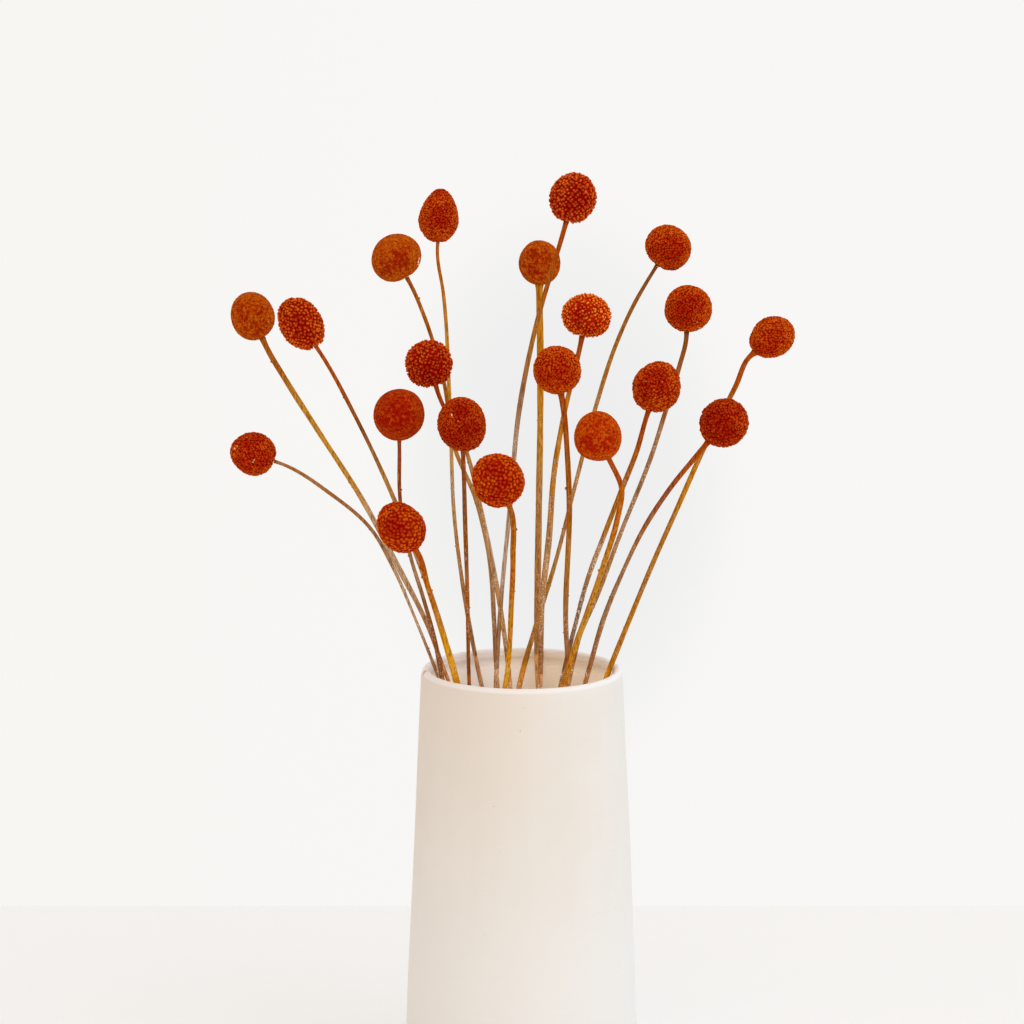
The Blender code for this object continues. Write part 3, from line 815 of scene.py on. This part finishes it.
# How the dye and painted shade lie on separate florets and on felt: the share of fine blotches in its
# unevenness, how strongly its placed patches (painted shade in front, dye behind) and its unevenness
# show, and how much a dull floret darkens
Lie = namedtuple("Lie", "fine placed patchy dull")
FLORET_LIE = Lie(0.4, 0.9, 2.8, 0.5)
FELT_LIE = Lie(0.7, 0.7, 4.5, 0.35)

# Painted shade: crimson patches on the front of each head. The place of each in the picture's plane
# from the middle of its head, right and up, and its radius. Others lie at random on the sides and the
# back, as patches of deeper dye.
BACK_PATCHES = 5
BACK_PATCH_SIZES = (4.0, 7.0)
FRONT_SHADE_PATCHES = {1: [(0, -1, 7.5)], 2: [(1, 1, 8.8)], 3: [(4, 0, 5), (-5, -4.5, 4)],
           4: [(-2, 5, 5), (-6, -4, 5), (3, 3, 4)], 5: [(-1, -1, 8)],
           6: [(1, 1, 6.8), (-5.5, 6, 3.5), (4, -9, 3)], 7: [(-2, 3, 6.5), (1, -5, 5)],
           8: [(-2, 1.5, 5), (2, -6, 4.5)], 9: [(-1, 2, 7.5), (-3, -3, 6)],
           10: [(1, 0.5, 5.6), (-8, -5, 4), (-1.5, -6, 5.2)], 11: [(3.3, -3.3, 8)],
           12: [(1.5, 2, 7.6), (-7, -2, 4.8)], 13: [(-1, 5, 7.6), (3, -3, 7.6), (-8, -3, 5)],
           14: [(1, 7, 6), (-3, -7.5, 6), (4, -1, 5.5)], 15: [(1, 6, 5.5), (2, -1, 5.5), (-6, -2, 5)],
           16: [(0, 8, 5.2), (-6, -2, 5.6), (6, -1.5, 5.6)], 17: [(-3, 4, 8), (-1, -4, 7)],
           18: [(3, -1, 8.4), (-1, 8, 6), (-4, -5, 6)],
           19: [(-1.5, 6, 5), (1.5, -2.5, 5.5), (-2, -7, 3.5)], 20: [(-1, 3.5, 6), (-4, 1, 5)]}
HEAD_SLOTS = ["rust", "rust", "ochre", "ochre", "rust", "ochre", "orange", "orange", "rust", "rust",
              "rust", "rust", "orange", "rust", "rust", "orange", "rust", "rust", "orange", "orange"]
FLORET_RIM = (1.0, 0.42, 0.02)
# Painted shade in the gaps between florets, within the crimson patches
WINE_GAP_SHADE = tone(104, 0, 0)
PALE_FLAKE = tone(255, 216, 172)
OCHRE_FLAKE = tone(246, 150, 60)

# Tints past 1, by which the finish tells flakes from florets
FLAKE_TINT = {"ochre": 2.0, "pale": 3.0}

# Place of each flake in the picture's plane from the middle of its head, right and up, its length, the
# angle at which it lies, and its colour
FLAKES = {3: [(12.7, -0.4, 2.4, 100, "pale"), (12.4, -2.0, 2.6, 75, "pale"), (12.2, -3.4, 1.8, 60, "pale"),
              (3.3, 6.3, 1.0, 20, "ochre"), (10.4, -4.6, 1.0, 60, "ochre")],
          5: [(-6.0, -10.3, 1.6, 30, "pale"), (-2.0, 3.8, 0.8, 40, "ochre"), (0.8, -6.5, 0.9, 90, "ochre")],
          6: [(8.2, -4.6, 1.1, 10, "ochre"), (9.2, -2.0, 1.4, 80, "ochre")],
          9: [(4.3, -6.6, 1.0, 60, "pale"), (6.0, -9.9, 2.7, 10, "ochre")],
          10: [(-2.4, 6.2, 1.1, 10, "ochre"), (3.0, 0.8, 0.8, 90, "ochre")],
          12: [(3.9, 8.6, 0.9, 80, "ochre")],
          14: [(-4.8, 6.0, 1.9, 70, "pale"), (-4.1, 4.9, 1.0, 40, "ochre"), (-1.5, 3.2, 1.2, 60, "ochre")],
          15: [(2.5, 4.1, 1.3, 20, "ochre"), (-5.8, 4.2, 1.0, 60, "ochre")],
          18: [(1.2, -1.6, 1.3, 110, "pale"), (0.7, -2.7, 1.1, 30, "pale"), (-9.3, 3.8, 1.9, 55, "pale"),
               (-8.0, 5.3, 1.7, 50, "ochre"), (-3.0, 9.8, 1.0, 10, "ochre")]}


def egg_point(flower, level, inset):
    """Distance from the axis and height of a head's round form at a level from -1 to 1."""
    half_width, half_height = flower.size[0] / 2 - inset, flower.size[1] / 2 - inset
    narrowing = 1.0 - flower.egg * (level + EGG_CENTRE_SHIFT) if level > -EGG_CENTRE_SHIFT else 1.0
    return half_width * math.sqrt(max(0.0, 1.0 - level * level)) * narrowing, half_height * level


def head_core(flower, inset):
    """Points and faces of the solid core under the florets, round the head's own axis."""
    points = []
    for ring in range(1, CORE_RINGS):
        out, high = egg_point(flower, -math.cos(math.pi * ring / CORE_RINGS), inset)
        for side in range(CORE_SIDES):
            turn = math.tau * side / CORE_SIDES
            points.append((out * math.cos(turn), out * math.sin(turn), high))
    faces = band_faces(CORE_RINGS - 1, CORE_SIDES)
    points += [(0.0, 0.0, egg_point(flower, level, inset)[1]) for level in (-1.0, 1.0)]
    bottom, top = len(points) - 2, len(points) - 1
    last = (CORE_RINGS - 2) * CORE_SIDES
    for side in range(CORE_SIDES):
        after = (side + 1) % CORE_SIDES
        faces.append((bottom, after, side))
        faces.append((top, last + side, last + after))
    return points, faces


def floret_faces(kind):
    """Faces of one floret: its sides, its tip and its hidden root."""
    sides, rings = kind.sides, len(kind.rings) - 1
    faces = band_faces(rings, sides)
    top = (rings - 1) * sides
    faces += [(top + i, top + (i + 1) % sides, top + sides) for i in range(sides)]
    faces.append(tuple(reversed(range(sides))))
    return faces


def florets(flower, kind, tilt, chance):
    """Every point of every floret, round the head's own axis, and each floret's tint."""
    rings, sides = kind.rings[:-1], kind.sides
    bottom = -math.cos(tilt)
    count = round(math.pi * flower.size[0] * flower.size[1] * (1.0 - bottom) / 2 / kind.pitch**2)
    points, tints = [], []
    for i in range(count):
        level = 1.0 - (1.0 - bottom) * (i + 0.5) / count
        turn = GOLDEN_ANGLE * i
        root_out, root_high = egg_point(flower, level, kind.height)
        below = egg_point(flower, level - 0.001, 0.0)
        above = egg_point(flower, level + 0.001, 0.0)
        rise, drawn_in = above[1] - below[1], below[0] - above[0]
        outward = Vector((math.cos(turn) * rise, math.sin(turn) * rise, drawn_in)).normalized()
        first = outward.orthogonal().normalized()
        second = outward.cross(first)
        shift = chance.normal(0.0, kind.stray * kind.pitch / 2, 2)
        lean = chance.normal(0.0, kind.lean, 2)
        root = Vector((root_out * math.cos(turn), root_out * math.sin(turn), root_high))
        root += first * shift[0] + second * shift[1]
        axis = (outward + first * lean[0] + second * lean[1]).normalized()
        tall = kind.height * (1.0 + chance.uniform(-kind.uneven, kind.uneven))
        narrowing = 1.0 - flower.egg * max(0.0, level + EGG_CENTRE_SHIFT) / 2
        width = kind.fill * kind.pitch * narrowing * (1.0 + chance.uniform(-kind.uneven, kind.uneven))
        spin = chance.uniform(0.0, math.tau)
        for size, lift, _ in rings:
            for side in range(sides):
                angle = spin + math.tau * side / sides
                ray = (first * math.cos(angle) + second * math.sin(angle)) * size * width
                points.append(root + ray + axis * lift * tall)
        points.append(root + axis * kind.rings[-1][1] * tall)
        tints.append(chance.uniform(0.0, 1.0))
    return points, tints


def swollen(points, number):
    """The given points round the middle of a head, moved where it bulges or is pressed in."""
    ways = points / np.linalg.norm(points, axis=1, keepdims=True)
    moves = np.zeros(len(points))
    for angle, height in SWELLS.get(number, []):
        turn = math.radians(angle)
        toward = ways @ np.array((math.cos(turn), 0.0, math.sin(turn)))
        moves += height * np.exp((toward - 1.0) / SWELL_SPREAD)
    return points + ways * moves[:, None]


def front_way(reach, right, high):
    """Direction from the middle of a head to the place on its front that lies there in the picture."""
    return Vector((right, -math.sqrt(max(0.0, reach**2 - right**2 - high**2)), high)).normalized()


def dye_and_shade_depth(points, number, flower, chance):
    """How deeply the given points round the middle of a head are darkened, from 0 to 1: by painted shade
    on its front, by dye elsewhere.
    """
    reach = (flower.size[0] + flower.size[1]) / 4
    patches = [(front_way(reach, right, high), size) for right, high, size in FRONT_SHADE_PATCHES[number]]
    for _ in range(BACK_PATCHES):
        x, y, z = chance.normal(0.0, 1.0, 3)
        patches.append((Vector((x, abs(y), z)).normalized(), chance.uniform(*BACK_PATCH_SIZES)))
    ways = points / np.linalg.norm(points, axis=1, keepdims=True)
    depth = np.zeros(len(points))
    for middle, size in patches:
        toward = ways @ np.array(middle)
        depth = np.maximum(depth, np.exp(1.4 * (toward - 1.0) * (reach / size) ** 2))
    return depth


def flake_shape(flower, right, high, length, angle):
    """Points and faces of a thin pale flake that clings to a head's front, round the head's middle."""
    reach = (flower.size[0] + flower.size[1]) / 4
    outward = front_way(reach, right, high)
    facing = (outward + Vector((0.0, -0.8, 0.0))).normalized()
    first, second = across(facing)
    long = (first * math.cos(math.radians(angle)) - second * math.sin(math.radians(angle))) * length / 2
    wide = facing.cross(long) * 0.5
    place = outward * (reach + 0.1)
    points = [place + long, place + wide + facing * 0.2, place - long + facing * 0.4, place - wide,
              place + facing * 0.4, place - facing * 0.3]
    faces = [(0, 1, 4), (1, 2, 4), (2, 3, 4), (3, 0, 4), (1, 0, 5), (2, 1, 5), (3, 2, 5), (0, 3, 5)]
    return points, faces


def head_mesh(number, flower):
    """A head's core, florets and flakes. Attribute tip tells its rings apart, tint its florets."""
    centre, up, _, tilt = head_frame(flower)
    kind = KINDS[flower.packing]
    points, faces = head_core(flower, kind.height * CORE_DEPTH)
    tips, tints = [kind.rings[0][2]] * len(points), [0.5] * len(points)
    ring_tones = [ring[2] for ring in kind.rings[:-1] for _ in range(kind.sides)] + [kind.rings[-1][2]]
    chance = np.random.RandomState(100 + number)
    floret_points, floret_tints = florets(flower, kind, tilt, chance)
    shape = floret_faces(kind)
    for i, tint in enumerate(floret_tints):
        start = len(points) + i * len(ring_tones)
        faces += [tuple(start + corner for corner in face) for face in shape]
        tints += [tint] * len(ring_tones)
    tips += ring_tones * len(floret_tints)
    points += floret_points
    turned_up = np.array(up.to_track_quat("Z", "Y").to_matrix())
    points = np.array(points) @ turned_up.T
    dye_and_shade_values = dye_and_shade_depth(points, number, flower, chance).tolist()
    points = swollen(points, number).tolist()
    for right, high, length, angle, colour in FLAKES.get(number, []):
        flake, flake_faces = flake_shape(flower, right, high, length, angle)
        faces += [tuple(len(points) + corner for corner in face) for face in flake_faces]
        points += flake
        tips += [1.0] * len(flake)
        dye_and_shade_values += [0.0] * len(flake)
        tints += [FLAKE_TINT[colour]] * len(flake)
    mesh = bpy.data.meshes.new(f"head_{number:02d}_dressed")
    mesh.from_pydata([(centre + Vector(point)) * MM for point in points], [], faces)
    mesh.shade_smooth()
    add_values(mesh, "tip", tips)
    add_values(mesh, "tint", tints)
    add_values(mesh, "depth", dye_and_shade_values)
    return mesh


def floret_finish(name, dye, felted):
    """Dyed florets: crimson between them, ochre on their shoulders, and patchy from floret to floret.
    Painted light: the ochre shoulders are partly a glow at a head's rim and the brightened tips partly
    highlights. Painted shade: the crimson patches on a head's front and the wine in their gaps.
    """
    material = bpy.data.materials.new(name)
    recipe = Recipe(material)
    place = recipe.add("TexCoord", output=3)
    tip = recipe.add("Attribute", {"attribute_name": "tip"}, output="Fac")
    tint = recipe.add("Attribute", {"attribute_name": "tint"}, output="Fac")
    depth = recipe.add("Attribute", {"attribute_name": "depth"}, output="Fac")
    broad = recipe.add("TexNoise", inputs={"Vector": place, "Scale": 110.0, "Detail": 2.0})
    blotches = recipe.add("TexNoise", inputs={
        "Vector": place, "Scale": 560.0, "Detail": 3.0, "Roughness": 0.65})
    grain = recipe.add("TexNoise", inputs={
        "Vector": place, "Scale": 2200.0, "Detail": 3.0, "Roughness": 0.6})
    # Painted light: the ochre shoulders stand partly for a glow through the florets at a head's rim
    stops = [(0.0, dye.valley), (0.3, dye.flank), (0.65, dye.shoulder), (1.0, dye.tip)]
    speckle = (0.5 - blotches) * 1.3 if felted else (grain - 0.5) * 0.3
    colour = recipe.add("ValToRGB", {"stops": stops}, {"Fac": tip + speckle})
    lie = FELT_LIE if felted else FLORET_LIE
    uneven = broad * (1.0 - lie.fine) + blotches * lie.fine - 0.5
    # Painted shade: the placed patches turn a head's front crimson, with random dye patches and blotches
    crimson = recipe.smooth(depth * lie.placed + uneven * lie.patchy, 0.0, 0.80)
    colour = recipe.mix(crimson * (1.0 - tip * 0.45), colour, dye.crimson)
    # Painted shade: the gaps between florets within the crimson patches darken to wine
    colour = recipe.mix(crimson * recipe.smooth(tip, 0.4, 0.0) * 0.3, colour, WINE_GAP_SHADE)
    # Painted highlights: a random share of tips turns bright, partly their own fresher colour
    brightened_tips = recipe.smooth(tint, 0.55, 1.0) * recipe.smooth(tip, 0.55, 0.95)
    colour = recipe.mix(brightened_tips * 0.7, colour, dye.tip)
    dim = recipe.smooth(tint, 0.50, 0.10)
    colour = recipe.mix(dim * lie.dull, colour, dye.crimson)
    colour = recipe.mix(recipe.smooth(tint, 1.2, 1.8), colour, OCHRE_FLAKE)
    colour = recipe.mix(recipe.smooth(tint, 2.2, 2.8), colour, PALE_FLAKE)
    bump = recipe.add("Bump", inputs={"Strength": 0.4, "Distance": 0.0003, "Height": grain})
    shader = recipe.add("BsdfPrincipled", inputs={
        "Base Color": colour, "Roughness": grain * 0.15 + 0.8, "Specular IOR Level": 0.02,
        "Sheen Weight": 0.35, "Sheen Roughness": 0.35, "Sheen Tint": (*FLORET_RIM, 1.0), "Normal": bump})
    recipe.add("OutputMaterial", inputs={"Surface": shader})
    return material


finishes = {}
for number, flower in enumerate(FLOWERS, start=1):
    felted = flower.packing == "felt"
    name = flower.dye + ("_felt" if felted else "_florets")
    if name not in finishes:
        finishes[name] = floret_finish(name, DYES[flower.dye], felted)
    mesh = head_mesh(number, flower)
    make_object(f"head_{number:02d}", mesh, finishes[name], "floret_" + HEAD_SLOTS[number - 1])

bpy.context.view_layer.update()
